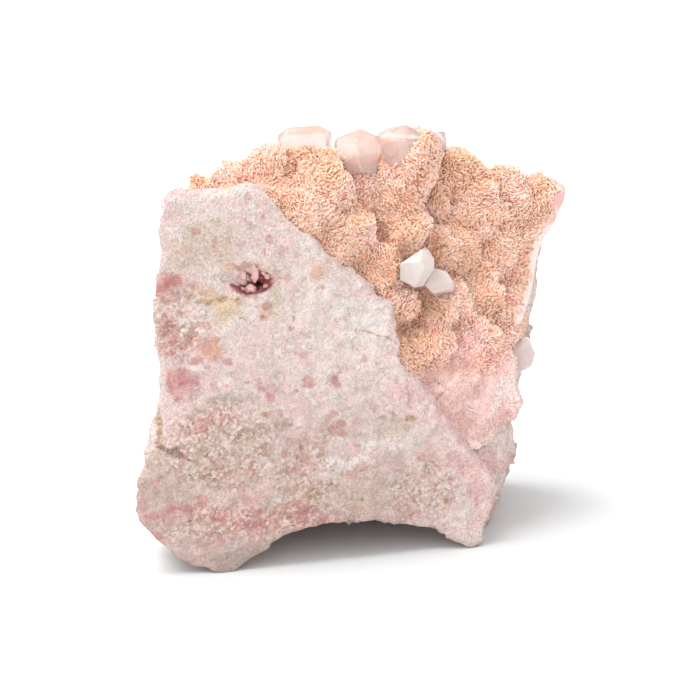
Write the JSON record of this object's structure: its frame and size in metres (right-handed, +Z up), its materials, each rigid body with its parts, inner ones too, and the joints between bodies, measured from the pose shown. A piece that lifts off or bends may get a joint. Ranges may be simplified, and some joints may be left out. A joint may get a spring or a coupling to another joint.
{
  "type": "rhodochrosite specimen",
  "caption": "Broken block of pink rhodochrosite with a lumpy druse of small crystals on one side and a few clear crystals standing on it.",
  "frame": {"origin": "bottom centre of the whole specimen's box, on the plane that it rests on", "axes": "+Z up as it rests, +X to the right and +Y to the back when the broken front face is looked at"},
  "size_m": [0.0649, 0.052, 0.0624],
  "materials": {
    "pale_pink_rock": "chalky pale pink broken rock with beige and salmon patches",
    "peach_druse": "tan to peach druse of small matt blades",
    "clear_crystal": "cloudy clear crystal with a pink cast",
    "rose_teeth": "small rose-pink crystals in a hollow"
  },
  "bodies": {
    "root": {"rhodochrosite_mass": "pale_pink_rock", "drusy_crust": "peach_druse", "clear_crystal_pair": "clear_crystal", "top_crystal_left": "clear_crystal", "top_crystal_twin": "clear_crystal", "top_crystal_small": "clear_crystal", "edge_crystal": "clear_crystal", "vug_crystals": "rose_teeth"}
  },
  "joints": []
}
